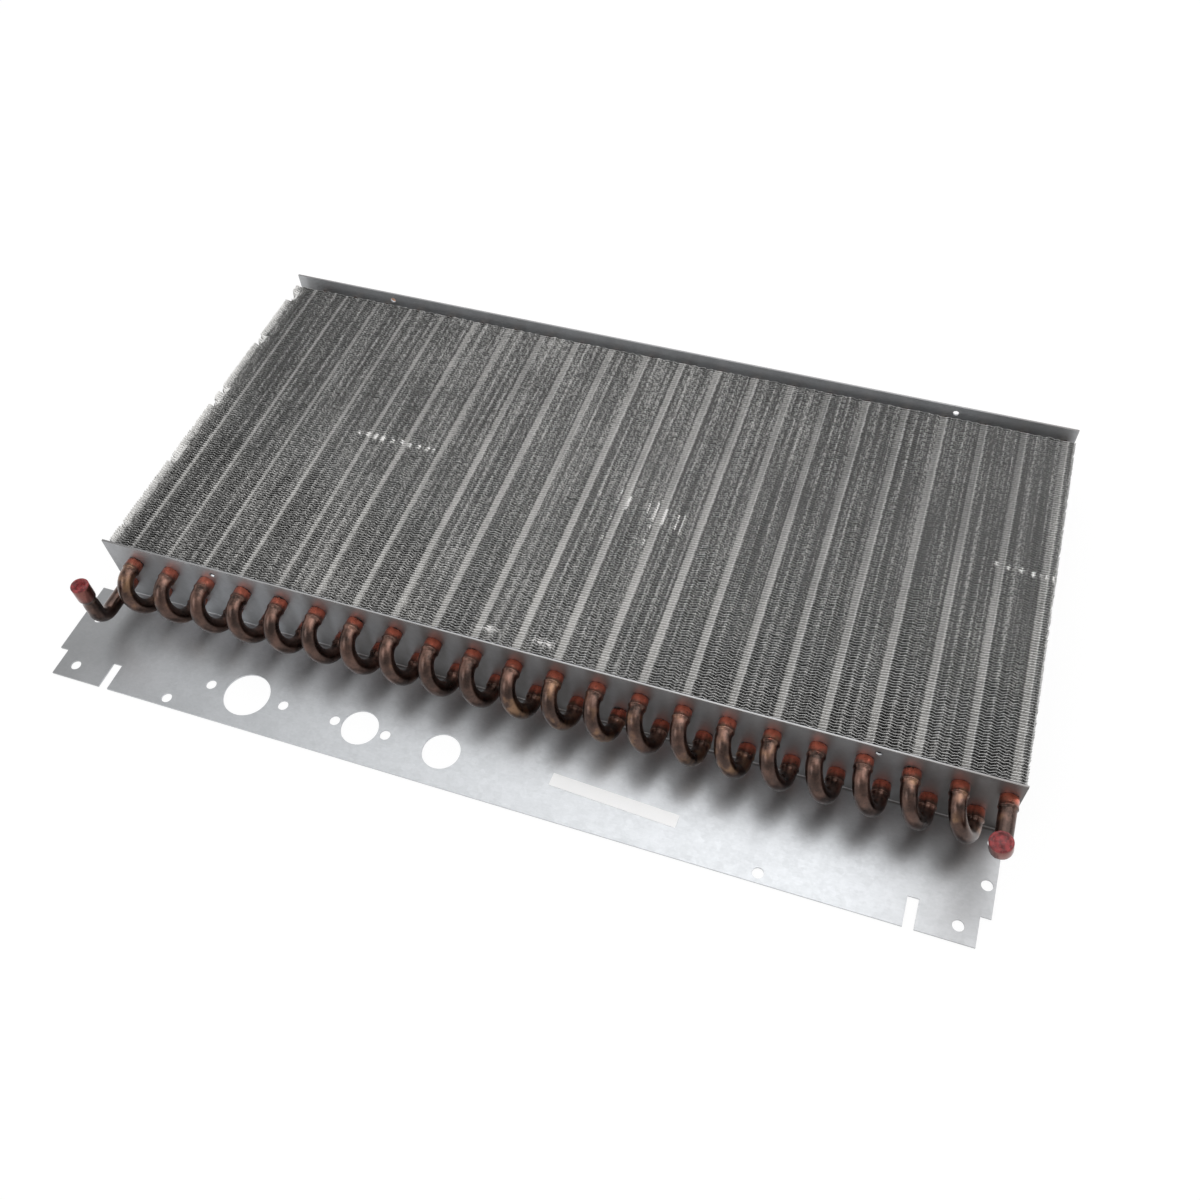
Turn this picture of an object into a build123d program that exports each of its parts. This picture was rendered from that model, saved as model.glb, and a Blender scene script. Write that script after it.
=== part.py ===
"""Condenser coil of two tube rows lying flat, with hairpin tubes pressed through a pack of plate fins.

A folded sheet at the front carries the tube ends and, as a wide flange, the holes that the coil is
fixed by. A plain sheet stands at the back. X runs along the tube rows, Y from the front sheet to the
back one and Z up. The origin lies under the middle of the coil, on the plane it rests on.
"""

from build123d import *
from math import atan2, cos, degrees, radians, sin
import os

os.makedirs("parts", exist_ok=True)

# Tube rows
tube_pitch = 25.4
tubes_per_row = 22
row_spacing = 22.0
lower_row_height = 16.9
tube_radius = 4.76
# So many tubes are made with an eight-sided section, as large in area as the round one, and holes too
# small to fix anything by have as many sides. Cups and plugs have twice as many.
tube_sides = 8
tube_corner_radius = 1.054 * tube_radius
cup_sides = 16

# Tube ends and bends
front_stand_out = 1.0
bell_length = 6.0
bell_growth = 0.8
bend_straight = 0.5
return_bend_corners = 6
hairpin_stand_out = 2.5
hairpin_corners = 4

# Tube sheets
sheet_thickness = 1.2
sheet_height = 53.7
sheet_end_margin = 6.35
sheet_gap = 262.2
sheet_hole_clearance = 0.15
fold_inner_radius = 0.8
top_hole_radius = 2.0
top_hole_drop = 5.7
top_hole_left = 57.4
top_hole_right = 463.3

# Fins
fin_count = 44
fin_thickness = 0.3
fin_height = 44.0
fin_front_gap = 2.5
fin_back_gap = 6.5
fin_slot_clearance = 0.3

# Flange, with places measured from the first upper tube and from the front sheet's face
flange_depth = 70.3
ear_width = 19.65
ear_back = 3.2
corner_notch_width = 5.8
corner_notch_depth = 17.9
screw_hole_radius = 3.25
corner_screws = [(-21.8, 61.0), (523.8, 61.0)]
front_screws = [(46.1, 64.7), (417.0, 64.7)]
left_screw = (-27.9, 25.5)
right_screws = [(535.0, 34.2), (535.0, 9.2)]
large_port_radius = 14.5
large_port = (92.7, 48.0)
large_port_screw_spacing = 49.8
small_port_radius = 11.5
small_ports = [(169.2, 48.0), (222.2, 48.0)]
small_port_screw_spacing = 33.3
pilot_hole_radius = 2.0
pilot_hole = (-13.4, 9.3)
slot_width = 6.2
slot_depth = 17.6
slot_centres = [3.7, 499.0]

# Open tube ends
stub_reach_left = 34.0
stub_reach_right = 35.0
stub_bend_radius = 9.5
stub_bend_corners = 3
left_stub_rise = 36.0
right_stub_rise = 16.0
right_stub_lean = 12.0
cup_depth = 12.0
right_cup_depth = 7.5
cup_wall = 0.6
left_cup_bore = 4.85
right_cup_bore = 5.6
plug_clearance = 0.1
plug_length = 5.0
plug_cap_thickness = 1.6
plug_cap_overhang = 0.25
plug_cap_chamfer = 0.5

# Sticker on the flange, left blank
label_length = 76.7
label_width = 8.0
label_thickness = 0.2
label_centre = (328.5, 47.2)
label_turn = -2.8

# Derived places
bend_radius = ((tube_pitch / 2) ** 2 + row_spacing**2) ** 0.5 / 2
upper_row_height = lower_row_height + row_spacing
fin_middle_height = lower_row_height + row_spacing / 2
sheet_width = (tubes_per_row - 0.5) * tube_pitch + 2 * sheet_end_margin
overall_width = ear_width + sheet_width
flat_angle = 180 / tube_sides
tube_flat_radius = tube_corner_radius * cos(radians(flat_angle))
sheets_depth = sheet_gap + 2 * sheet_thickness
overall_depth = flange_depth + sheets_depth + hairpin_stand_out + bend_radius + tube_flat_radius
sheet_left = -overall_width / 2 + ear_width
first_lower_x = sheet_left + sheet_end_margin
first_upper_x = first_lower_x + tube_pitch / 2
front_face_y = -overall_depth / 2 + flange_depth
front_sheet_back_y = front_face_y + sheet_thickness
back_sheet_y = front_sheet_back_y + sheet_gap
back_face_y = back_sheet_y + sheet_thickness
tube_end_y = front_face_y - front_stand_out - bell_length
hole_corner_radius = tube_corner_radius + sheet_hole_clearance
row_lean = degrees(atan2(row_spacing, tube_pitch / 2))

upper_tubes = [first_upper_x + tube_pitch * k for k in range(tubes_per_row)]
lower_tubes = [first_lower_x + tube_pitch * k for k in range(tubes_per_row)]


def upright(y):
    """Upright plane across the tubes at a depth, with X to the right and Y up, facing the front."""
    return Plane(origin=(0, y, 0), x_dir=(1, 0, 0), z_dir=(0, -1, 0))


def on_flange(place):
    """Place on the plan view for a point given from the first upper tube and the front face."""
    return (first_upper_x + place[0], front_face_y - place[1])


def tube_places():
    """Centres of all tubes on an upright plane."""
    upper = [(x, upper_row_height) for x in upper_tubes]
    return upper + [(x, lower_row_height) for x in lower_tubes]


def leg_plane(upper_x, lower_x, y, away):
    """Plane through an upper and a lower tube, X from upper to lower and Y out of the coil."""
    across = Vector(lower_x - upper_x, 0, -row_spacing).normalized()
    return Plane(origin=(upper_x, y, upper_row_height), x_dir=across, z_dir=across.cross(Vector(0, away, 0)))


def half_round(straight, corners):
    """Corners of a line that touches a half circle of the bend radius, beyond a straight piece."""
    reach = bend_radius / cos(radians(90 / corners))
    turns = [radians(180 * (k + 0.5) / corners) for k in range(corners)]
    return [(bend_radius - reach * cos(turn), straight + reach * sin(turn)) for turn in turns]


# Front sheet: upright pierced plate folded forward into the flange
with BuildPart() as near_tube_sheet:
    with BuildSketch(Plane.YZ.offset(sheet_left)) as fold:
        with BuildLine():
            Polyline(
                (front_face_y - flange_depth, 0),
                (front_sheet_back_y, 0),
                (front_sheet_back_y, sheet_height),
                (front_face_y, sheet_height),
                (front_face_y, sheet_thickness),
                (front_face_y - flange_depth, sheet_thickness),
                close=True,
            )
        make_face()
        outer_corner = fold.vertices().sort_by_distance((front_sheet_back_y, 0))[0]
        fillet(outer_corner, fold_inner_radius + sheet_thickness)
        inner_corner = fold.vertices().sort_by_distance((front_face_y, sheet_thickness))[0]
        fillet(inner_corner, fold_inner_radius)
    extrude(amount=sheet_width)
    with BuildSketch(Plane.XY):
        with Locations((sheet_left, front_face_y - ear_back)):
            Rectangle(ear_width, flange_depth - ear_back, align=(Align.MAX, Align.MAX))
    extrude(amount=sheet_thickness)
    with BuildSketch(upright(front_sheet_back_y)):
        with Locations(*tube_places()):
            RegularPolygon(hole_corner_radius, tube_sides, rotation=row_lean + flat_angle)
        with Locations(
            (first_upper_x + top_hole_left, sheet_height - top_hole_drop),
            (first_upper_x + top_hole_right, sheet_height - top_hole_drop),
        ):
            RegularPolygon(top_hole_radius, tube_sides)
    extrude(amount=sheet_thickness, mode=Mode.SUBTRACT)
    with BuildSketch(Plane.XY):
        with Locations(*[on_flange(place) for place in corner_screws + front_screws + right_screws]):
            Circle(screw_hole_radius)
        with Locations(on_flange(left_screw)):
            Circle(screw_hole_radius)
        with Locations(on_flange(large_port)):
            Circle(large_port_radius)
            with GridLocations(large_port_screw_spacing, 0, 2, 1):
                Circle(screw_hole_radius)
        with Locations(*[on_flange(place) for place in small_ports]):
            Circle(small_port_radius)
        with Locations(on_flange(small_ports[0])):
            with GridLocations(small_port_screw_spacing, 0, 2, 1):
                Circle(screw_hole_radius)
        with Locations(on_flange(pilot_hole)):
            RegularPolygon(pilot_hole_radius, tube_sides)
        with Locations(*[on_flange((x, flange_depth)) for x in slot_centres]):
            Rectangle(slot_width, slot_depth, align=(Align.CENTER, Align.MIN))
        with Locations((sheet_left - ear_width, front_face_y - flange_depth)):
            Rectangle(corner_notch_width, corner_notch_depth, align=Align.MIN)
        with Locations((sheet_left + sheet_width, front_face_y - flange_depth)):
            Rectangle(corner_notch_width, corner_notch_depth, align=(Align.MAX, Align.MIN))
    extrude(amount=sheet_thickness, mode=Mode.SUBTRACT)
near_tube_sheet.part.label = "near_tube_sheet"
export_step(near_tube_sheet.part, "parts/near_tube_sheet.step")

# Back sheet: flat plate standing on the same plane
with BuildPart() as far_tube_sheet:
    with BuildSketch(upright(back_face_y)):
        with Locations((sheet_left + sheet_width / 2, sheet_height / 2)):
            Rectangle(sheet_width, sheet_height)
        with Locations(*tube_places()):
            RegularPolygon(
                hole_corner_radius, tube_sides, rotation=row_lean + flat_angle, mode=Mode.SUBTRACT
            )
        with Locations(
            (first_upper_x + top_hole_left, sheet_height - top_hole_drop),
            (first_upper_x + top_hole_right, sheet_height - top_hole_drop),
        ):
            RegularPolygon(top_hole_radius, tube_sides, mode=Mode.SUBTRACT)
    extrude(amount=sheet_thickness)
far_tube_sheet.part.label = "far_tube_sheet"
export_step(far_tube_sheet.part, "parts/far_tube_sheet.step")

# Fins: plates across the tubes, each open along both rows where the tubes pass
first_fin_y = front_sheet_back_y + fin_front_gap + fin_thickness
last_fin_y = back_sheet_y - fin_back_gap
fin_pitch = (last_fin_y - first_fin_y) / (fin_count - 1)
slot_height = 2 * (tube_corner_radius + fin_slot_clearance)
slot_length = (tubes_per_row - 1) * tube_pitch + slot_height
with BuildPart() as fin_pack:
    with BuildSketch(*[upright(first_fin_y + fin_pitch * k) for k in range(fin_count)]):
        with Locations((sheet_left + sheet_width / 2, fin_middle_height)):
            Rectangle(sheet_width, fin_height)
        with Locations(
            ((upper_tubes[0] + upper_tubes[-1]) / 2, upper_row_height),
            ((lower_tubes[0] + lower_tubes[-1]) / 2, lower_row_height),
        ):
            Rectangle(slot_length, slot_height, mode=Mode.SUBTRACT)
    extrude(amount=fin_thickness)
fin_pack.part.label = "fin_pack"
export_step(fin_pack.part, "parts/fin_pack.step")

# Hairpins: each joins an upper tube to the lower one on its left, bent behind the back sheet
straight_y = front_face_y - front_stand_out
for number, (upper_x, lower_x) in enumerate(zip(upper_tubes, lower_tubes), start=1):
    behind = leg_plane(upper_x, lower_x, straight_y, 1)
    straight = back_face_y + hairpin_stand_out - straight_y
    with BuildPart() as hairpin:
        with BuildLine(behind):
            Polyline((0, 0), *half_round(straight, hairpin_corners), (2 * bend_radius, 0))
        with BuildSketch(upright(straight_y)):
            with Locations((upper_x, upper_row_height)):
                RegularPolygon(tube_corner_radius, tube_sides, rotation=row_lean + flat_angle)
        sweep(transition=Transition.RIGHT)
        with BuildSketch(upright(straight_y)):
            with Locations((upper_x, upper_row_height), (lower_x, lower_row_height)):
                RegularPolygon(tube_corner_radius, tube_sides, rotation=row_lean + flat_angle)
        extrude(amount=bell_length, taper=-degrees(atan2(bell_growth, bell_length)))
    hairpin.part.label = f"hairpin_{number:02}"
    export_step(hairpin.part, f"parts/hairpin_{number:02}.step")

# Return bends: each joins an upper tube to the lower one on its right, in front of the front sheet
for number, (upper_x, lower_x) in enumerate(zip(upper_tubes, lower_tubes[1:]), start=1):
    with BuildPart() as return_bend:
        with BuildLine(leg_plane(upper_x, lower_x, tube_end_y, -1)):
            Polyline((0, 0), *half_round(bend_straight, return_bend_corners), (2 * bend_radius, 0))
        with BuildSketch(upright(tube_end_y)):
            with Locations((upper_x, upper_row_height)):
                RegularPolygon(tube_corner_radius, tube_sides, rotation=flat_angle - row_lean)
        sweep(transition=Transition.RIGHT)
    return_bend.part.label = f"return_bend_{number:02}"
    export_step(return_bend.part, f"parts/return_bend_{number:02}.step")


def stub_line(reach, rise):
    """Corners of the line of an open tube end: out along the tube, then round an elbow and up."""
    spread = stub_bend_radius / cos(radians(45 / stub_bend_corners))
    turns = [radians(90 * (k + 0.5) / stub_bend_corners) for k in range(stub_bend_corners)]
    start = reach - front_stand_out - bell_length
    bend = [
        (stub_bend_radius - spread * cos(turn), start - stub_bend_radius + spread * sin(turn))
        for turn in turns
    ]
    return [(0, 0), *bend, (rise, start)]


# Open ends: the two tubes without a return bend, each with a swaged cup that a plug closes
stubs = (
    ("inlet", lower_tubes[0], lower_row_height, stub_reach_left, left_stub_rise, 0, left_cup_bore, cup_depth),
    (
        "outlet",
        upper_tubes[-1],
        upper_row_height,
        stub_reach_right,
        right_stub_rise,
        right_stub_lean,
        right_cup_bore,
        right_cup_depth,
    ),
)
for name, x, height, reach, rise, lean, bore, depth in stubs:
    up = Vector(-sin(radians(lean)), 0, cos(radians(lean)))
    plane = Plane(origin=(x, tube_end_y, height), x_dir=up, z_dir=up.cross(Vector(0, -1, 0)))
    mouth = Plane(
        origin=plane.from_local_coords((rise, reach - front_stand_out - bell_length, 0)),
        x_dir=(0, -1, 0),
        z_dir=up,
    )
    with BuildPart() as stub:
        with BuildLine(plane):
            Polyline(*stub_line(reach, rise - depth))
        with BuildSketch(upright(tube_end_y)):
            with Locations((x, height)):
                RegularPolygon(tube_corner_radius, tube_sides, rotation=flat_angle)
        sweep(transition=Transition.RIGHT)
        with BuildSketch(mouth):
            RegularPolygon(bore + cup_wall, cup_sides)
        extrude(amount=-depth)
        with BuildSketch(mouth):
            RegularPolygon(bore, cup_sides)
        extrude(amount=cup_wall - depth, mode=Mode.SUBTRACT)
    stub.part.label = f"{name}_stub"
    export_step(stub.part, f"parts/{name}_stub.step")

    with BuildPart() as plug:
        with BuildSketch(mouth):
            RegularPolygon(bore + cup_wall + plug_cap_overhang, cup_sides)
        extrude(amount=plug_cap_thickness)
        chamfer(plug.edges().group_by(lambda edge: mouth.to_local_coords(edge.center()).Z)[-1], plug_cap_chamfer)
        with BuildSketch(mouth):
            RegularPolygon(bore - plug_clearance, cup_sides)
        extrude(amount=-plug_length)
    plug.part.label = f"{name}_plug"
    export_step(plug.part, f"parts/{name}_plug.step")

# Blank sticker on the flange
with BuildPart() as blank_label:
    with BuildSketch(Plane.XY.offset(sheet_thickness)):
        with Locations(on_flange(label_centre)):
            Rectangle(label_length, label_width, rotation=label_turn)
    extrude(amount=label_thickness)
blank_label.part.label = "blank_label"
export_step(blank_label.part, "parts/blank_label.step")
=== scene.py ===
"""Finned condenser coil dressed for rendering: sheets, tubes, bends, fins, plugs and studio."""

import bpy
import numpy as np
from mathutils import Matrix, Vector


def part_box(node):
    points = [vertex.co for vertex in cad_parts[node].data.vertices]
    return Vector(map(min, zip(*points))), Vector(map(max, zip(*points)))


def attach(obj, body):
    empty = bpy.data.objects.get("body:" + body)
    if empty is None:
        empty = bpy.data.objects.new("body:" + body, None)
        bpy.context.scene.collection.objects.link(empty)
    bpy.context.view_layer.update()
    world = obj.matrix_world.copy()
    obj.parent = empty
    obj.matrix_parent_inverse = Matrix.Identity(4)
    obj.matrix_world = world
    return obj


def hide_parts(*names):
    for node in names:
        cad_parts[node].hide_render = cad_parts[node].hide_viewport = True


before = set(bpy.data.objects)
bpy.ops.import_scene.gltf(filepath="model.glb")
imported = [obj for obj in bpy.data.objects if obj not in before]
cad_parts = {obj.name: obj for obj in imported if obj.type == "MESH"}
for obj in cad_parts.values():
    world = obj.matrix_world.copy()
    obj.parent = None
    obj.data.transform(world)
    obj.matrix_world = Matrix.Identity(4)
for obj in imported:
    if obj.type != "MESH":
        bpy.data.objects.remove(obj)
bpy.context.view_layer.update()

# Tube sheets: two pressed plates of hot-dip galvanised steel. The near one is folded forward into
# the flange that carries the coil. Both keep their CAD shape and get the zinc's dull grey, with its
# crystals and smudges of handling. The face behind the bends is darkened with painted shade of the
# bends, and the ends of both sheets with painted shade too.

mm = 1e-3
tube_pitch = 25.4e-3
end_margin = 6.35e-3
sheet_thickness = 1.2e-3
# The near sheet's front face, behind the bends. Distances out of it or behind it start here.
face_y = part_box("near_tube_sheet")[1].y - sheet_thickness
far_low, far_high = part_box("far_tube_sheet")
first_lower_x = far_low.x + end_margin
first_upper_x = first_lower_x + tube_pitch / 2


class Number:
    """A value that changes over a surface. Operators on it add the shader's Math nodes."""

    def __init__(self, tree, socket):
        self.tree, self.socket = tree, socket

    def math(self, operation, *values):
        inputs = dict(enumerate(values))
        return self.tree.number("ShaderNodeMath", {"operation": operation}, inputs)

    def __add__(self, other):
        return self.math("ADD", self, other)

    def __sub__(self, other):
        return self.math("SUBTRACT", self, other)

    def __rsub__(self, other):
        return self.math("SUBTRACT", other, self)

    def __mul__(self, other):
        return self.math("MULTIPLY", self, other)

    def __mod__(self, other):
        return self.math("FLOORED_MODULO", self, other)

    def __abs__(self):
        return self.math("ABSOLUTE", self)

    __radd__, __rmul__ = __add__, __mul__


class Nodes:
    """The node tree of a material or of the world: adds nodes to it and joins their sockets."""

    def __init__(self, owner):
        owner.use_nodes = True
        self.nodes, self.links = owner.node_tree.nodes, owner.node_tree.links

    def feed(self, target, value):
        """Joins a socket or a changing value to the target socket, or sets a plain value on it."""
        source = value.socket if isinstance(value, Number) else value
        if isinstance(source, bpy.types.NodeSocket):
            self.links.new(source, target)
        else:
            target.default_value = source

    def node(self, kind, settings=None, inputs=None):
        """New node of a kind; its settings go first, then the values or links of its inputs."""
        node = self.nodes.new(kind)
        for key, value in (settings or {}).items():
            setattr(node, key, value)
        for key, value in (inputs or {}).items():
            self.feed(node.inputs[key], value)
        return node

    def number(self, kind, settings=None, inputs=None):
        return Number(self, self.node(kind, settings, inputs).outputs[0])

    def parts(self, vector):
        """The three numbers of a vector."""
        split = self.node("ShaderNodeSeparateXYZ", {}, {0: vector})
        return [Number(self, part) for part in split.outputs]

    def step(self, value, low, high):
        """Goes smoothly from 0 at the first bound to 1 at the second."""
        inputs = {"Value": value, "From Min": low, "From Max": high}
        return self.number("ShaderNodeMapRange", {"interpolation_type": "SMOOTHSTEP"}, inputs)


class Finish(Nodes):
    """A material with the Principled shader. Its patterns are placed on the piece in mm."""

    def __init__(self, name, **constants):
        self.material = bpy.data.materials.new(name)
        super().__init__(self.material)
        self.shader = self.nodes["Principled BSDF"]
        self.set(**constants)
        self.place = self.scaled(self.node("ShaderNodeTexCoord").outputs["Object"], 1 / mm)
        self.x, self.y, self.z = self.parts(self.place)

    def scaled(self, vector, factor):
        inputs = {0: vector, 3: factor}
        return self.node("ShaderNodeVectorMath", {"operation": "SCALE"}, inputs).outputs[0]

    def noise(self, size, detail, stretch=(1, 1, 1)):
        """Cloudy pattern from 0 to 1 with lumps of about the size in mm, longer along an axis that
        is stretched."""
        inputs = {0: self.place, 1: [size * times for times in stretch]}
        divided = self.node("ShaderNodeVectorMath", {"operation": "DIVIDE"}, inputs).outputs[0]
        inputs = {"Vector": divided, "Scale": 1.0, "Detail": detail}
        return self.number("ShaderNodeTexNoise", {}, inputs)

    def crystals(self, size):
        """Flat patches of about the size in mm, each with a random value from 0 to 1."""
        inputs = {"Vector": self.scaled(self.place, 1 / size), "Scale": 1.0}
        patches = self.node("ShaderNodeTexVoronoi", {}, inputs)
        return self.parts(patches.outputs["Color"])[0]

    def mix(self, factor, first, second):
        """Colour between two colours."""
        inputs = {0: factor, 6: first, 7: second}
        return self.node("ShaderNodeMix", {"data_type": "RGBA"}, inputs).outputs[2]

    def set(self, **sockets):
        """Sets the shader's sockets, or joins to them what varies over the surface."""
        for name, value in sockets.items():
            self.feed(self.shader.inputs[name.replace("_", " ")], value)

    def relief(self, height, depth):
        """Bumps of the depth in mm, read from a height from 0 to 1."""
        inputs = {"Height": height, "Distance": depth * mm, "Strength": 1.0}
        self.set(Normal=self.node("ShaderNodeBump", {}, inputs).outputs[0])


zinc = Finish("galvanised_zinc")
spangle = zinc.crystals(4.0) * 0.5 + zinc.crystals(1.6) * 0.5
smudge = zinc.noise(42.0, 4.0)
haze = zinc.noise(11.0, 4.0, (1, 1, 2))
rolling = zinc.noise(0.8, 3.0, (4, 1, 1))
tone = spangle * 0.2 + smudge * 0.5 + rolling * 0.3
clean_light, clean_dark = (0.575, 0.59, 0.61, 1), (0.47, 0.485, 0.50, 1)
clean_zinc = zinc.mix(zinc.step(tone, 0.2, 0.8), clean_dark, clean_light)

# Painted shade of the bends on the face in front: faint at the left, strong from the middle on and
# a little weaker toward the right end. Between the tubes there is less of it, most at the left, as
# a painted reflection of the flange.
from_face = zinc.y - face_y / mm
on_face = zinc.step(from_face, -2.4, -1.0) * (1 - zinc.step(from_face, 0.2, 0.5))
behind_bends = zinc.step(zinc.x, -272.0, -238.0)
along_row = zinc.step(zinc.x, -240.0, -60.0)
right_end = zinc.step(zinc.x, 60.0, 250.0)
period = tube_pitch / mm
off_middle = (zinc.x - first_upper_x / mm) % period - period / 2
between_tubes = 1 - zinc.step(abs(off_middle), 3.0, 8.5)
painted_shade_strength = 0.16 + 0.78 * along_row - 0.20 * right_end + 0.4 * (smudge - 0.5) + 0.5 * (haze - 0.5)
painted_shade_strength = painted_shade_strength * (1 - between_tubes * (0.85 - 0.6 * along_row))
painted_face_shade = on_face * behind_bends * painted_shade_strength

# Both ends of the sheets are darkened with painted shade, and the edges cut on top are darker.
painted_end_shade = zinc.step(abs(zinc.x), 205.0, 285.0) * 0.36
sheet_top = far_high.z / mm
cut_edge = zinc.step(zinc.z, sheet_top - 0.1, sheet_top) * 0.5
zinc.set(
    Base_Color=zinc.mix(painted_face_shade + cut_edge + painted_end_shade, clean_zinc, (0.20, 0.19, 0.185, 1)),
    Roughness=0.37 - 0.04 * spangle + 0.12 * smudge + 0.12 * on_face,
    Metallic=1 - 0.3 * zinc.step(zinc.y, 100.0, 150.0),
)
zinc.relief(rolling, 0.01)
for node in ("near_tube_sheet", "far_tube_sheet"):
    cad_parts[node].data.materials.clear()
    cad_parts[node].data.materials.append(zinc.material)

# Hairpin tubes: 22 long U tubes of drawn copper, pushed in from behind through both sheets and all
# fins and then widened against them. Their front ends are belled to take the return bends. The
# torch left the copper brown, and red where the heat stopped at the sheet.

tube_radius = 4.76e-3
tube_count = 22
lower_z, upper_z = 16.9e-3, 38.9e-3
mouth_y = face_y - 7.0e-3
bend_radius = 12.701e-3
tube_sides, stub_sides = 24, 32


def bent_line(along, straight, radius, angle):
    """Line that runs straight, turns through an angle on a radius and runs on straight. Gives, for
    each distance along it, the way out, the way across, and the turn made so far."""
    turn = np.clip((along - straight) / radius, 0, angle)
    after = np.maximum(along - straight - radius * angle, 0)
    out = np.minimum(along, straight) + radius * np.sin(turn) + after * np.cos(angle)
    across = radius * (1 - np.cos(turn)) + after * np.sin(angle)
    return out, across, turn


def tube(start, out_axis, across_axis, line, radii, sides):
    """Round tube on a bent line: at each point of the line a ring of the given radius, square to
    the line; the first and last ring are closed by a point in their middle."""
    out, across, turn = (values[:, None] for values in line)
    out_axis, across_axis = np.array(out_axis, float), np.array(across_axis, float)
    centre = np.array(start) + out * out_axis + across * across_axis
    inward = across_axis * np.cos(turn) - out_axis * np.sin(turn)
    sideways = np.cross(out_axis, across_axis)
    angle = np.linspace(0, 2 * np.pi, sides, endpoint=False)[None, :, None]
    circle = np.cos(angle) * inward[:, None] + np.sin(angle) * sideways
    rings = centre[:, None] + radii[:, None, None] * circle
    points = np.concatenate([rings.reshape(-1, 3), centre[:1], centre[-1:]])
    row = np.arange(len(centre) - 1)[:, None] * sides
    here = np.arange(sides)
    ahead = (here + 1) % sides
    quads = np.stack([row + here, row + ahead, row + sides + ahead, row + sides + here], 2)
    last = (len(centre) - 1) * sides
    first_cap = np.stack([ahead, here, np.full(sides, last + sides)], 1)
    last_cap = np.stack([last + here, last + ahead, np.full(sides, last + sides + 1)], 1)
    return points, [quads.reshape(-1, 4), first_cap, last_cap]


def outward(points, faces):
    """The same faces, all turned over if the volume that they close comes out negative. It is the
    sum, over the triangles of each face, of one corner's dot product with the others' cross
    product."""
    volume = 0.0
    for group in faces:
        for k in range(1, group.shape[1] - 1):
            first, second, third = (points[group[:, place]] for place in (0, k, k + 1))
            volume += np.einsum("ij,ij->", first, np.cross(second, third))
    return [group[:, ::-1] for group in faces] if volume < 0 else faces


def piece(name, points, faces, finish, slot, *nodes, smooth=True):
    """Makes the mesh object, with its finish, riding on the root in place of the CAD nodes."""
    mesh = bpy.data.meshes.new(name)
    corners = sum((group.tolist() for group in outward(points, faces)), [])
    mesh.from_pydata(points.tolist(), [], corners)
    mesh.polygons.foreach_set("use_smooth", np.full(len(mesh.polygons), smooth))
    mesh.materials.append(finish.material)
    made = bpy.data.objects.new(name, mesh)
    bpy.context.scene.collection.objects.link(made)
    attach(made, "root")
    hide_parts(*nodes)
    return made


copper = Finish("heated_copper", Metallic=1.0, Coat_Weight=0.5, Coat_Roughness=0.25)
cloud = copper.noise(7.0, 4.0)
speck = copper.noise(1.1, 3.0)
patch = copper.noise(55.0, 2.0)

# Outward from the near sheet the copper is red, then brown with golden patches and darker on the
# bows, and the cups are a dull red. Among the fins it is a dull grey-brown, painted shade between
# the fins, and behind the far sheet bare.
out = face_y / mm - copper.y
bow_darker = 1 - 0.7 * copper.step(out, 9.0, 19.0)
lighter_brown_share = copper.step(cloud * 0.8 + speck * 0.2, 0.35, 0.66) * bow_darker
brown = copper.mix(lighter_brown_share, (0.042, 0.023, 0.017, 1), (0.29, 0.158, 0.120, 1))
golden_patch = copper.step(patch * 0.6 + cloud * 0.4, 0.53, 0.63) * 0.5
golden = copper.mix(golden_patch, brown, (0.30, 0.17, 0.08, 1))
heat_edge = out + (cloud - 0.5) * 7.0 + (speck - 0.5) * 3.0
heat = copper.step(heat_edge, -1.0, 0.5) * (1 - copper.step(heat_edge, 2.0, 6.5))
heat = heat * (0.7 + 0.3 * copper.step(copper.x, -230.0, -100.0))
reddened = copper.mix(heat, golden, (0.80, 0.205, 0.125, 1))
cup_heat = copper.step(out, 26.0, 28.0) * copper.step(copper.z, 40.0, 45.0)
with_cup = copper.mix(cup_heat, reddened, (0.19, 0.060, 0.048, 1))
# Painted shade: the copper among the fins is a dull dark grey-brown.
among_fins = copper.mix(copper.step(out, 1.0, -2.0), with_cup, (0.13, 0.10, 0.085, 1))
bare = copper.mix(cloud, (0.30, 0.15, 0.09, 1), (0.46, 0.25, 0.16, 1))
behind = copper.y - far_high.y / mm
whole = copper.mix(copper.step(behind, -0.6, 0.9), among_fins, bare)
copper.set(
    Base_Color=copper.mix(copper.step(speck, 0.6, 0.72) * 0.6, whole, (0.04, 0.03, 0.025, 1)),
    Roughness=0.14 + 0.26 * cloud + 0.1 * speck,
)
copper.relief(cloud * 0.6 + speck * 0.4, 0.1)

# The bell from its mouth on, as distance and radius in mm: a socket, the rim, the flared lip and
# the taper back to the tube.
bell = np.array([
    (3.0, 4.80), (1.5, 4.80), (0.3, 4.80), (0.0, 5.0), (0.0, 5.38), (0.25, 5.50), (0.8, 5.46),
    (1.4, 5.30), (2.2, 5.24), (5.0, 5.22), (6.2, 5.08), (7.2, 4.80), (8.0, 4.76),
]) * mm
stand_out = 2.3e-3
leg_rings, bow_rings = 4, 17
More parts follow.
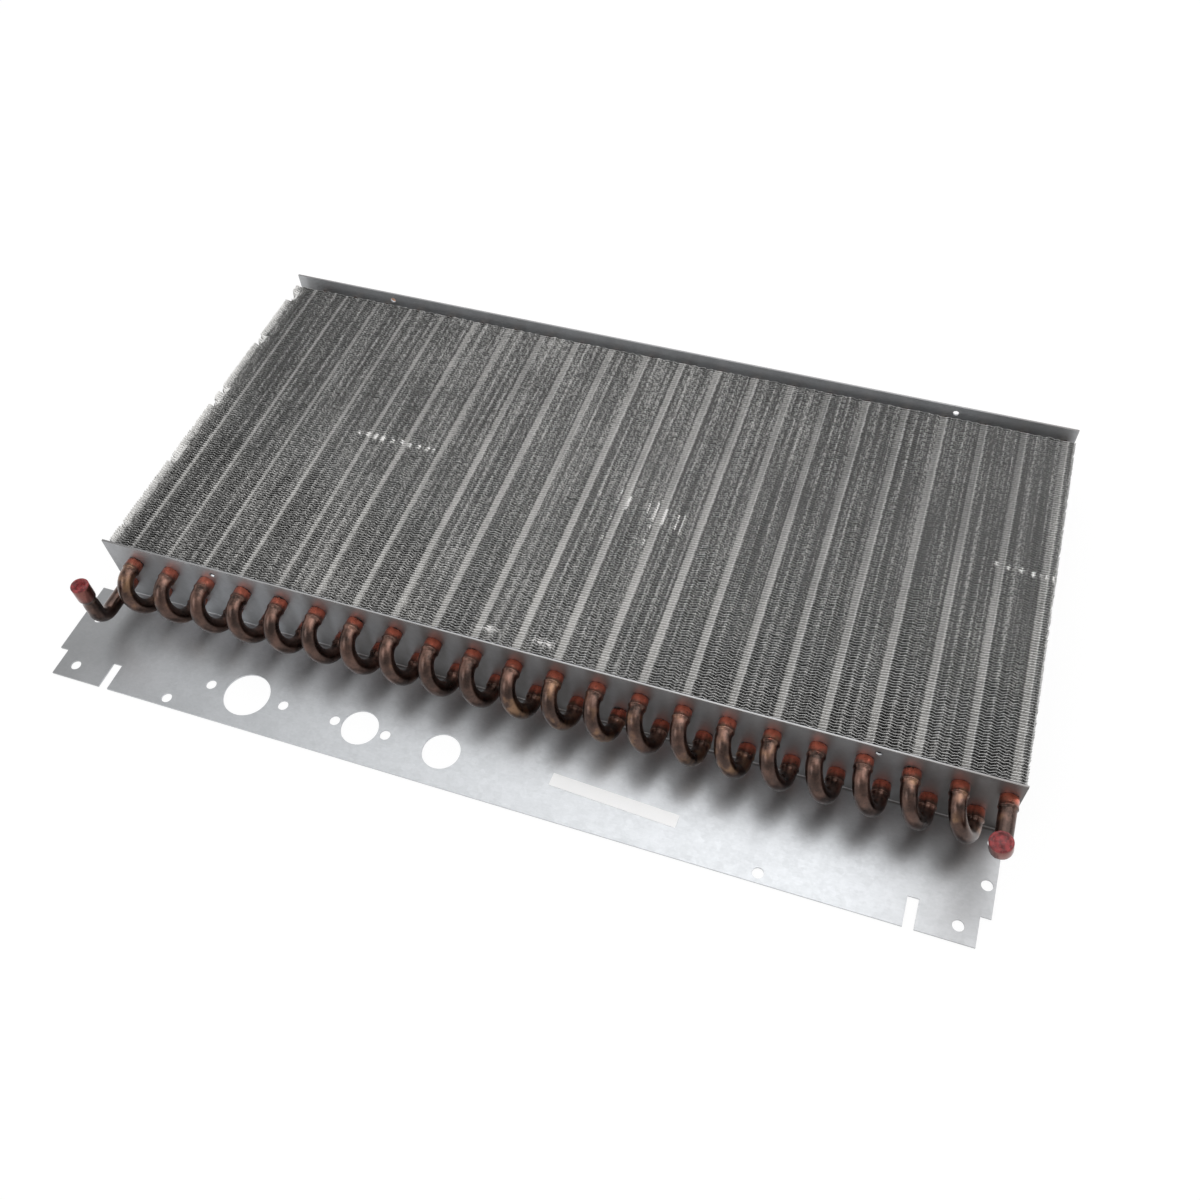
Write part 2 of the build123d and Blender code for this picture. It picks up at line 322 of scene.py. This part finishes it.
# The rings along a hairpin: a bell and a leg, the bow behind, then a leg and a bell again.
hairpin_straight = far_high.y + stand_out - mouth_y
hairpin_length = 2 * hairpin_straight + np.pi * bend_radius
legs = np.linspace(bell[-1, 0], hairpin_straight, leg_rings + 2)[1:-1]
bow = hairpin_straight + np.linspace(0, np.pi * bend_radius, bow_rings)
half = np.concatenate([bell[:, 0], legs])
half_radii = np.concatenate([bell[:, 1], np.full(len(legs), tube_radius)])
along = np.concatenate([half, bow, hairpin_length - half[::-1]])
radii = np.concatenate([half_radii, np.full(len(bow), tube_radius), half_radii[::-1]])
line = bent_line(along, hairpin_straight, bend_radius, np.pi)
row_rise = upper_z - lower_z
lean = np.array([-tube_pitch / 2, 0, -row_rise]) / np.hypot(tube_pitch / 2, row_rise)
for number in range(tube_count):
    upper = (first_upper_x + tube_pitch * number, mouth_y, upper_z)
    piece(
        f"hairpin_tube_{number + 1:02}",
        *tube(upper, (0, 1, 0), lean, line, radii, tube_sides),
        copper,
        "tube_copper",
        f"hairpin_{number + 1:02}",
    )

# Return bends: 21 short copper U bends, each brazed into the bell of an upper tube and of the lower
# one to its right. A ring of braze metal fills the rim of each bell.

# A bend's end from inside the bell outward, with its ring of braze, as distance and radius in mm.
braze = np.array([
    (-2.8, 4.70), (-0.1, 4.76), (0.0, 5.25), (0.35, 5.20), (0.8, 4.95), (1.3, 4.82),
]) * mm
bend_start = 1.6e-3
bend_rings = 19
bend_bow = bend_start + np.linspace(0, np.pi * bend_radius, bend_rings)
bend_length = 2 * bend_start + np.pi * bend_radius
along = np.concatenate([braze[:, 0], bend_bow, bend_length - braze[::-1, 0]])
radii = np.concatenate([braze[:, 1], np.full(len(bend_bow), tube_radius), braze[::-1, 1]])
line = bent_line(along, bend_start, bend_radius, np.pi)
lean_right = lean * (-1, 1, 1)
for number in range(tube_count - 1):
    upper = (first_upper_x + tube_pitch * number, mouth_y, upper_z)
    piece(
        f"return_tube_{number + 1:02}",
        *tube(upper, (0, -1, 0), lean_right, line, radii, tube_sides),
        copper,
        "tube_copper",
        f"return_bend_{number + 1:02}",
    )

# Open ends: the first lower and the last upper tube leave toward the front, turn up round an elbow
# and end in a widened cup. Each cup is closed for transport by a pushed-in plug of red plastic.

red = Finish("red_plastic", IOR=1.48)
mottle = red.step(red.noise(2.4, 3.0), 0.34, 0.66)
scuff = red.step(red.noise(0.8, 4.0), 0.6, 0.75)
mottled = red.mix(mottle, (0.105, 0.010, 0.012, 1), (0.30, 0.040, 0.043, 1))
red.set(
    Base_Color=red.mix(scuff * 0.4, mottled, (0.55, 0.22, 0.22, 1)),
    Roughness=0.38 + 0.25 * mottle,
)
red.relief(mottle * 0.5 + scuff * 0.5, 0.08)

elbow_radius = 9.5e-3
elbow_rings = 15
neck_radius = 4.35e-3
cup_wall = 0.6e-3
last_upper_x = first_upper_x + tube_pitch * (tube_count - 1)
# Name, x and z of the tube, reach out of the sheet, rise above the tube, tilt to the left in
# degrees, the cup's inner radius and its depth, and how far the plug's top is sunk in mm.
open_ends = (
    ("inlet", first_lower_x, lower_z, 34.0e-3, 36.0e-3, 0.0, 4.85e-3, 12.0e-3, 2.4),
    ("outlet", last_upper_x, upper_z, 35.0e-3, 16.0e-3, 12.0, 5.6e-3, 7.5e-3, 0.4),
)
for name, x, z, reach, rise, tilt, bore, depth, sunk in open_ends:
    start = (x, mouth_y, z)
    up = np.array([-np.sin(np.radians(tilt)), 0, np.cos(np.radians(tilt))])
    run = reach - (face_y - mouth_y) - elbow_radius
    top = run + elbow_radius * np.pi / 2 + rise - elbow_radius
    outer = bore + cup_wall
    inner = bore - 0.03e-3
    # The neck and the cup, as distance below the mouth and radius.
    cup = np.array([
        (depth + 5.0e-3, tube_radius), (depth + 2.8e-3, neck_radius), (depth + 1.0e-3, neck_radius),
        (depth - 0.6e-3, outer - 0.15e-3), (depth - 1.6e-3, outer), (0.5e-3, outer),
        (0.12e-3, outer - 0.1e-3), (0.0, outer - 0.3e-3), (0.0, bore), (0.6e-3, inner),
        (6.0e-3, inner),
    ])
    turn = run + np.linspace(0, elbow_radius * np.pi / 2, elbow_rings)
    turn = turn[turn < top - cup[0, 0] - 0.5e-3]
    along = np.concatenate([braze[:, 0], turn, top - cup[:, 0]])
    radii = np.concatenate([braze[:, 1], np.full(len(turn), tube_radius), cup[:, 1]])
    line = bent_line(along, run, elbow_radius, np.pi / 2)
    stub = tube(start, (0, -1, 0), up, line, radii, stub_sides)
    piece(f"{name}_tube", *stub, copper, "tube_copper", f"{name}_stub")

    # The plug, as distance above the mouth and radius in mm: the shank, the rim and the sunk top.
    shank, cap = bore / mm - 0.1, outer / mm + 0.1
    plug = np.array([
        (-5.0, shank - 0.5), (-4.6, shank - 0.1), (-0.3, shank), (0.02, shank), (0.02, cap - 0.2),
        (0.15, cap), (0.4, cap - 0.05), (0.8, cap - 0.3), (1.1, cap - 0.75), (1.25, cap - 1.3),
        (1.15, cap - 1.7), (1.0 - sunk, cap - 2.1), (0.9 - sunk, cap - 2.5),
        (1.0 - sunk, cap - 3.0), (1.3 - sunk, cap - 3.4), (1.5 - sunk, cap - 4.4),
    ]) * mm
    line = bent_line(top + plug[:, 0], run, elbow_radius, np.pi / 2)
    stopper = tube(start, (0, -1, 0), up, line, plug[:, 1], stub_sides)
    piece(f"{name}_cap", *stopper, red, "plug_red", f"{name}_plug")

# Fins: about 140 plates of aluminium foil, slid over the tubes and held by them. Each is pressed
# into upright ridges with a wider flat band at each tube. Some top edges have been knocked over and
# some left ends torn in handling.

fin_low, fin_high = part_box("fin_pack")
fin_left, fin_right = fin_low.x, fin_high.x
fin_bottom, fin_top = fin_low.z, fin_high.z
fin_front, fin_rear = fin_low.y + 0.8e-3, fin_high.y - 0.8e-3

# Seen from above, the fins' tops are painted with light: at each tube a band of painted highlight
# between two dark grooves of painted shade, with fainter painted highlights on one side of each
# ridge between the bands. The bands wander a little beside their tubes; they are wider to the
# right, brighter at the left and fainter to the rear.
foil = Finish("fin_foil")
from_tube = foil.x - first_upper_x / mm
wander = (foil.noise(60.0, 2.0, (1, 5, 1)) - 0.5) * 1.2
phase = (from_tube + 3.0 + wander) % period
band_width = 2.2 + 2.4 * foil.step(foil.x, -280.0, 60.0)
past_band = phase - band_width
beside_tube = foil.step(phase, 0.0, 1.0) * (1 - foil.step(past_band, 0.0, 0.5))
groove_after = foil.step(past_band, 0.6, 1.0) * (1 - foil.step(past_band, 2.0, 2.6))
groove_before = foil.step(phase, 23.4, 23.9) * (1 - foil.step(phase, 25.0, 25.4))
ridge_phase = (from_tube - 0.5) % (period / 4)
painted_ridge_highlight = foil.step(ridge_phase, 0.0, 0.8) * (1 - foil.step(ridge_phase, 1.8, 2.6))
near_left = 1 - foil.step(foil.x, -280.0, -60.0)
painted_band_highlight = beside_tube * (0.56 - 0.26 * foil.step(foil.y, -100.0, 150.0) + 0.22 * near_left)
streak = foil.step(foil.noise(1.3, 1.0, (1, 90, 90)), 0.35, 0.65)
weave = foil.step(foil.noise(1.1, 0.0, (1, 1.8, 2)), 0.32, 0.68)
grain = (streak - 0.5) * 0.36 + (weave - 0.5) * 0.55

# How light the foil is painted: painted highlights on the bands and ridges, painted shade in the
# grooves, and the grain; then dust, lighter along the middle of the row, and painted highlights on
# edges that were knocked over.
painted_light_grain_and_dust = painted_band_highlight + painted_ridge_highlight * 0.26 + grain * (1 - 0.7 * beside_tube)
painted_light_grain_and_dust = painted_light_grain_and_dust - (groove_after + groove_before) * 0.18
# Painted shade: the foil is darker to the right, and toward the rear at the left end.
painted_light_grain_and_dust = painted_light_grain_and_dust - 0.07 * foil.step(foil.x, 20.0, 260.0)
painted_light_grain_and_dust = painted_light_grain_and_dust - 0.14 * near_left * foil.step(foil.y, -50.0, 130.0)
middle = foil.step(foil.x, -250.0, -120.0) * (1 - foil.step(foil.x, 30.0, 150.0))
dust_and_lighter_middle = foil.noise(30.0, 4.0) + middle * 0.35
# Painted highlight: the torn left end and the knocked-over tops are painted near white.
knocked_end = 1 - foil.step(foil.x, fin_left / mm + 2.0, fin_left / mm + 8.0)
bent_attribute = foil.node("ShaderNodeAttribute", {"attribute_name": "bent"}).outputs["Fac"]
bent_over = foil.step(bent_attribute, 0.1, 0.5)
painted_light_grain_and_dust = painted_light_grain_and_dust + (dust_and_lighter_middle - 0.5) * 0.3 + knocked_end * 0.4 + bent_over
lightness_painted_and_grain = foil.step(painted_light_grain_and_dust, -0.25, 0.95)
foil.set(
    Base_Color=foil.mix(lightness_painted_and_grain, (0.42, 0.42, 0.415, 1), (0.945, 0.935, 0.915, 1)),
    Metallic=1 - 0.9 * lightness_painted_and_grain,
    Roughness=0.36 + 0.2 * weave,
)
foil.relief(weave, 0.03)

fin_count = 140
fin_wall = 0.2e-3
top_strip = 1.8e-3
fold_lean, fold_drop = 1.6e-3, 0.7e-3
# One period of the ridges, in mm: distance from the tube along x, and out of the fin's plane.
ridges = np.array([
    (-3.2, -0.5), (3.2, 0.1), (5.2, -0.5), (8.35, 0.55), (11.5, -0.55), (14.7, 0.55), (17.9, -0.55),
    (20.2, 0.3),
]) * mm
# Bent places on the fins' tops, in mm: range along x, range of the distance behind the near sheet's
# face, and how far over.
dents = np.array([
    (-20.5, -10.5, 10.0, 14.0, 0.9), (9.5, 24.5, 10.0, 14.0, 0.9),
    (-270.0, -262.0, 242.0, 250.0, 1.0), (-270.0, -262.0, 192.0, 200.0, 1.0),
    (-270.0, -262.0, 129.0, 147.0, 0.9), (-270.0, -262.0, 74.0, 90.0, 0.9),
    (-272.0, -264.0, 0.0, 260.0, 0.5),
]) * (mm, mm, mm, mm, 1)
# Nicks in single fins: middle and half width along x, the same range of distance, how far over.
nicks = np.array([
    (-157.4, 1.5, 131.6, 134.4, 0.8), (-151.4, 2.0, 131.2, 135.0, 1.0),
    (-145.4, 2.2, 131.0, 135.2, 1.0), (-140.3, 2.2, 131.2, 135.2, 1.0),
    (-132.8, 2.0, 131.2, 134.8, 1.0), (-126.7, 1.8, 131.2, 134.6, 1.0),
    (-120.7, 1.8, 131.0, 134.4, 1.0), (-114.1, 2.0, 131.2, 134.6, 1.0),
    (-107.6, 2.0, 131.2, 134.8, 1.0), (-103.5, 1.5, 131.4, 133.8, 0.8),
    (12.6, 1.0, 127.0, 131.5, 0.5), (25.1, 1.1, 131.0, 136.5, 0.6), (25.1, 1.1, 124.5, 128.0, 0.5),
    (25.1, 1.1, 110.3, 114.5, 0.5), (25.1, 1.1, 102.2, 107.1, 0.5), (25.1, 1.1, 94.5, 97.7, 0.7),
    (31.7, 1.4, 122.0, 132.3, 1.0), (45.2, 1.0, 121.0, 131.3, 0.7), (45.2, 1.0, 98.8, 102.0, 0.5),
    (50.2, 1.2, 118.0, 132.5, 0.9), (50.2, 1.2, 110.3, 113.6, 0.7), (50.2, 1.2, 97.1, 101.6, 0.9),
    (56.6, 1.5, 116.2, 128.9, 1.0), (65.1, 1.0, 114.0, 126.0, 0.9), (68.6, 1.0, 110.0, 126.8, 0.6),
    (63.0, 1.0, 97.3, 100.6, 0.5), (254.0, 2.2, 142.8, 145.8, 0.7),
    (261.4, 2.4, 142.0, 145.6, 0.75), (269.0, 2.4, 141.4, 145.2, 0.8),
    (275.8, 2.0, 140.8, 144.5, 1.0), (280.0, 1.2, 140.5, 144.0, 0.9),
    (283.4, 1.2, 140.5, 144.0, 0.9), (287.2, 1.4, 140.5, 144.5, 1.0),
]) * (mm, mm, mm, mm, 1)
# Places where the tops of the left ends are torn back: the same range of distance, and how deep.
torn_ends = np.array([
    (241.0, 249.0, 6.0), (192.0, 200.0, 4.0), (128.0, 134.0, 4.0), (141.0, 147.0, 3.0),
    (74.0, 80.0, 3.0), (16.0, 20.0, 3.0),
]) * mm


def ridge_line():
    """The fold that one die presses into every fin: places along x, and how far the foil stands out
    of the fin's plane there. The ridges repeat at each tube, a little unevenly, and each nick adds
    a place in its middle and at its ends."""
    uneven = np.random.default_rng(3)
    tubes = first_upper_x + tube_pitch * np.arange(-1, tube_count)
    x = (tubes[:, None] + ridges[:, 0]).ravel()
    wave = np.tile(ridges[:, 1], len(tubes))
    x = x + uneven.normal(0, 0.25e-3, x.shape)
    wave = wave * uneven.uniform(0.6, 1.3, x.shape)
    closest, inset = 0.4e-3, 0.2e-3
    inside = (x > fin_left + closest) & (x < fin_right - closest)
    x = np.concatenate([[fin_left + inset], x[inside], [fin_right - inset]])
    wave = np.concatenate([[0.0], wave[inside], [0.0]])
    nicked = np.unique(nicks[:, :1] + nicks[:, 1:2] * (-1, 0, 1))
    nicked = nicked[np.abs(nicked[:, None] - x).min(1) > closest]
    finer = np.sort(np.concatenate([x, nicked]))
    return finer, np.interp(finer, x, wave)


def soft_patch(x, y, x_range, y_range, edge):
    """1 inside a rectangle on the fins' top and 0 outside it, over a soft edge."""
    inside_x = np.minimum(x - x_range[0], x_range[1] - x) / edge
    inside_y = np.minimum(y - y_range[0], y_range[1] - y) / edge
    return np.clip(np.minimum(inside_x, inside_y) + 0.5, 0, 1)


def knocked_over(x, y, wave, chance):
    """How far the tops are knocked over, from 0 to 1. A dent is a rough patch, weaker on the ridges
    that stand to the rear. A nick falls off evenly to both sides of its middle."""
    bent = np.zeros(x.shape)
    for left, right, near, far, strength in dents:
        rough = chance.uniform(0.6, 1.0, x.shape) * np.where(wave > 0, 0.45, 1.0)
        patch = soft_patch(x, y, (left, right), (near, far), 2e-3)
        bent = np.maximum(bent, patch * rough * strength)
    for middle, half, near, far, strength in nicks:
        over_x = np.clip(1 - np.abs(x - middle) / half, 0, 1)
        over_y = soft_patch(x, y, (-1, 1), (near, far), 1e-3)
        bent = np.maximum(bent, over_x * over_y * strength)
    return bent


def fin_plates(rows_y, chance):
    """Closed foil plates across the tubes. Each follows the ridge line with a small unevenness of
    its own, and a loop of six points, three heights on each face, is carried along it. At a torn
    left end the two upper heights start further in. Where the top is knocked over, its highest
    points lean to the rear and drop; how far, from 0 to 1, is given for each point."""
    x, wave = ridge_line()
    y = rows_y[:, None] + wave
    y = y + chance.normal(0, 0.05e-3, (len(rows_y), 1)) + chance.normal(0, 0.06e-3, y.shape)
    x = x + chance.normal(0, 0.08e-3, y.shape)
    left_end = fin_left + np.abs(chance.normal(0, 0.4e-3, len(rows_y)))
    right_end = fin_right - np.abs(chance.normal(0, 0.3e-3, len(rows_y)))
    in_order = 0.03e-3 * np.arange(x.shape[1])
    x = np.minimum(x, right_end[:, None] - in_order[::-1])
    foot_x = np.maximum(x, left_end[:, None] + in_order)
    for near, far, depth in torn_ends:
        torn = (rows_y - face_y > near) & (rows_y - face_y < far)
        left_end = left_end + torn * depth * chance.uniform(0.2, 1.0, len(rows_y))
    x = np.maximum(x, left_end[:, None] + in_order)
    bent = knocked_over(x, y - face_y, wave, chance)
    lean_y = chance.normal(0, 0.10e-3, y.shape) + fold_lean * bent
    drop = fold_drop * bent + np.abs(chance.normal(0, 0.05e-3, y.shape))
    strip_z = fin_top - top_strip
    around = (
        (-1, foot_x, fin_bottom, 0), (-1, x, strip_z, 0), (-1, x, fin_top, 1),
        (1, x, fin_top, 1), (1, x, strip_z, 0), (1, foot_x, fin_bottom, 0),
    )
    loops = np.stack([
        np.stack([across, y + side * fin_wall / 2 + share * lean_y, height - share * drop], 2)
        for side, across, height, share in around
    ], 2)
    corner = np.arange(loops[..., 0].size).reshape(loops.shape[:3])
    here, ahead = corner[:, :-1], corner[:, 1:]
    quads = np.stack([here, np.roll(here, -1, 2), np.roll(ahead, -1, 2), ahead], 3)
    left_cap = corner[:, 0][:, [[5, 4, 1, 0], [4, 3, 2, 1]]]
    right_cap = corner[:, -1][:, [[0, 1, 4, 5], [1, 2, 3, 4]]]
    faces = [group.reshape(-1, 4) for group in (quads, left_cap, right_cap)]
    bent_points = bent[:, :, None] * np.array([share for *_, share in around])
    return loops.reshape(-1, 3), faces, bent_points.ravel()


fins_y = np.linspace(fin_front, fin_rear, fin_count)
chance = np.random.default_rng(7)
for name, rows_y in zip(("fins_front", "fins_middle", "fins_rear"), np.array_split(fins_y, 3)):
    points, faces, bent = fin_plates(rows_y, chance)
    plates = piece(name, points, faces, foil, "fin_aluminium", "fin_pack", smooth=False)
    plates.data.attributes.new("bent", "FLOAT", "POINT").data.foreach_set("value", bent)

# Fin collars: the fins' holes are drawn out into short sleeves that sit tight on the tubes and hold
# the fins apart, so between the fins each tube is covered with aluminium.

middles = np.array([
    (first_x + tube_pitch * number, z)
    for first_x, z in ((first_upper_x, upper_z), (first_lower_x, lower_z))
    for number in range(tube_count)
])
collar_sides = 16
outside, inside = 5.0e-3, 4.82e-3
# A circle carried round the four corners of the sleeve's wall, at the middle of each tube.
profile = np.array([
    (fin_front, outside), (fin_rear, outside), (fin_rear, inside), (fin_front, inside),
])
angle = np.linspace(0, 2 * np.pi, collar_sides, endpoint=False)
ring = np.stack([np.cos(angle), np.sin(angle)], 1)
spread = middles[:, None, None] + profile[None, :, None, 1:] * ring
depth = np.broadcast_to(profile[None, :, None, :1], (*spread.shape[:3], 1))
points = np.concatenate([spread[..., :1], depth, spread[..., 1:]], 3)
corner = np.arange(points[..., 0].size).reshape(points.shape[:3])
onward = np.roll(corner, -1, 1)
quads = np.stack([corner, np.roll(corner, -1, 2), np.roll(onward, -1, 2), onward], 3)
collars = (points.reshape(-1, 3), [quads.reshape(-1, 4)])
piece("fin_collars", *collars, foil, "fin_aluminium", "fin_pack")

# Sticker: a blank strip of white coated paper with an adhesive back, pressed down by hand on the
# flange and a little crooked.

paper = Finish("white_paper", IOR=1.6, Coat_Weight=0.6, Coat_Roughness=0.25)
fibre = paper.noise(1.2, 4.0)
stain = paper.noise(14.0, 3.0)
paper.set(
    Base_Color=paper.mix(fibre * 0.4 + stain * 0.6, (0.90, 0.90, 0.90, 1), (0.98, 0.98, 0.98, 1)),
    Roughness=0.45 + 0.2 * fibre,
)
paper.relief(fibre, 0.02)
length, width, thickness = 76.7e-3, 8.0e-3, 0.19e-3
crooked = np.radians(-2.8)
middle_x, middle_y = first_upper_x + 328.5e-3, face_y - 47.2e-3
# A grid of points on the strip's top, the same one at the flange, and a wall round their rim.
across, up = np.meshgrid(np.linspace(-0.5, 0.5, 49), np.linspace(-0.5, 0.5, 9), indexing="ij")
plan = np.stack([
    middle_x + np.cos(crooked) * across * length - np.sin(crooked) * up * width,
    middle_y + np.sin(crooked) * across * length + np.cos(crooked) * up * width,
], 2)
top = np.dstack([plan, np.full(across.shape, sheet_thickness + thickness)])
base = np.dstack([plan, np.full(across.shape, sheet_thickness)])
corner = np.arange(across.size).reshape(across.shape)
flat = np.stack([corner[:-1, :-1], corner[1:, :-1], corner[1:, 1:], corner[:-1, 1:]], 2)
flat = flat.reshape(-1, 4)
rim = np.concatenate([corner[:, 0], corner[-1, 1:], corner[-2::-1, -1], corner[0, -2:0:-1]])
ahead = np.roll(rim, -1)
wall = np.stack([rim + across.size, ahead + across.size, ahead, rim], 1)
points = np.concatenate([top.reshape(-1, 3), base.reshape(-1, 3)])
faces = [flat, flat[:, ::-1] + across.size, wall]
piece("label_strip", points, faces, paper, "label_white", "blank_label", smooth=False)

# Studio: a white table under the coil, a pale surround that is darker overhead, and three large
# soft lamps above. The table shows white to the camera and in reflections, and keeps the shadow.

floor_mesh = bpy.data.meshes.new("floor")
table_half, below = 6.0, 0.2e-3
table_plan = np.array([(-1, -1), (1, -1), (1, 1), (-1, 1)]) * table_half
table_corners = [(x, y, -below) for x, y in table_plan.tolist()]
floor_mesh.from_pydata(table_corners, [], [(0, 1, 2, 3)])
floor = bpy.data.objects.new("floor", floor_mesh)
bpy.context.scene.collection.objects.link(floor)
table = Finish("white_table", Base_Color=(0.9, 0.9, 0.9, 1), Roughness=0.9)
rays = table.node("ShaderNodeLightPath").outputs
camera_ray, glossy_ray, passed_ray = (
    Number(table, rays[f"Is {kind} Ray"]) for kind in ("Camera", "Glossy", "Transmission")
)
seen = (camera_ray + glossy_ray + passed_ray) * 0.88
glow = table.node("ShaderNodeEmission", {}, {"Color": (1, 1, 1, 1), "Strength": 1.03}).outputs[0]
blend = table.node("ShaderNodeMixShader", {}, {0: seen, 1: table.shader.outputs[0], 2: glow})
table.feed(table.nodes["Material Output"].inputs[0], blend.outputs[0])
floor_mesh.materials.append(table.material)

world = bpy.data.worlds.new("studio")
bpy.context.scene.world = world
sky = Nodes(world)
height = sky.parts(sky.node("ShaderNodeTexCoord").outputs["Generated"])[2]
background = sky.nodes["Background"].inputs
sky.feed(background["Color"], (1, 1, 1, 1))
sky.feed(background["Strength"], 1 - 0.5 * sky.step(height, 0.1, 0.7))


def stand(holder, right, above, back, spot):
    """Puts a lamp or a camera at its spot, turned so that its own axes are the three given."""
    placed = np.eye(4)
    placed[:3, :3] = np.stack([right, above, back], 1)
    placed[:3, 3] = spot
    holder.matrix_world = Matrix(placed.tolist())
    bpy.context.scene.collection.objects.link(holder)


# Name, spot, width of the square lamp and its power in watts.
lamps = (
    ("key", (0.60, 0.60, 1.45), 1.5, 11.1),
    ("rear", (-0.40, 0.68, 1.40), 1.0, 3.8),
    ("fill", (-0.9, -0.9, 1.5), 0.9, 5.3),
)
for name, spot, size, power in lamps:
    lamp = bpy.data.lights.new(name, "AREA")
    lamp.size, lamp.energy = size, power
    back = np.array(spot) / np.linalg.norm(spot)
    side = np.cross((0, 0, 1), back) / np.linalg.norm(np.cross((0, 0, 1), back))
    stand(bpy.data.objects.new(name, lamp), side, np.cross(back, side), back, spot)

# Camera: above the front left of the coil, looking down on it with a little roll, so that the row
# of return bends runs across the picture a little below its middle.

azimuth, elevation, roll = np.radians((-21.84, 54.0, -3.82))
ahead_y = np.array([np.sin(azimuth), np.cos(azimuth), 0])
forward = np.cos(elevation) * ahead_y - np.array([0, 0, np.sin(elevation)])
level = np.array([np.cos(azimuth), -np.sin(azimuth), 0])
over = np.cross(level, forward)
right = np.cos(roll) * level + np.sin(roll) * over
above = np.cos(roll) * over - np.sin(roll) * level
camera = bpy.data.cameras.new("camera")
camera.lens, camera.sensor_width = 35.10, 36.0
camera_holder = bpy.data.objects.new("camera", camera)
stand(camera_holder, right, above, -forward, (0.1889, face_y - 0.3240, 0.6051))
bpy.context.scene.camera = camera_holder
bpy.context.scene.view_settings.view_transform = "Standard"
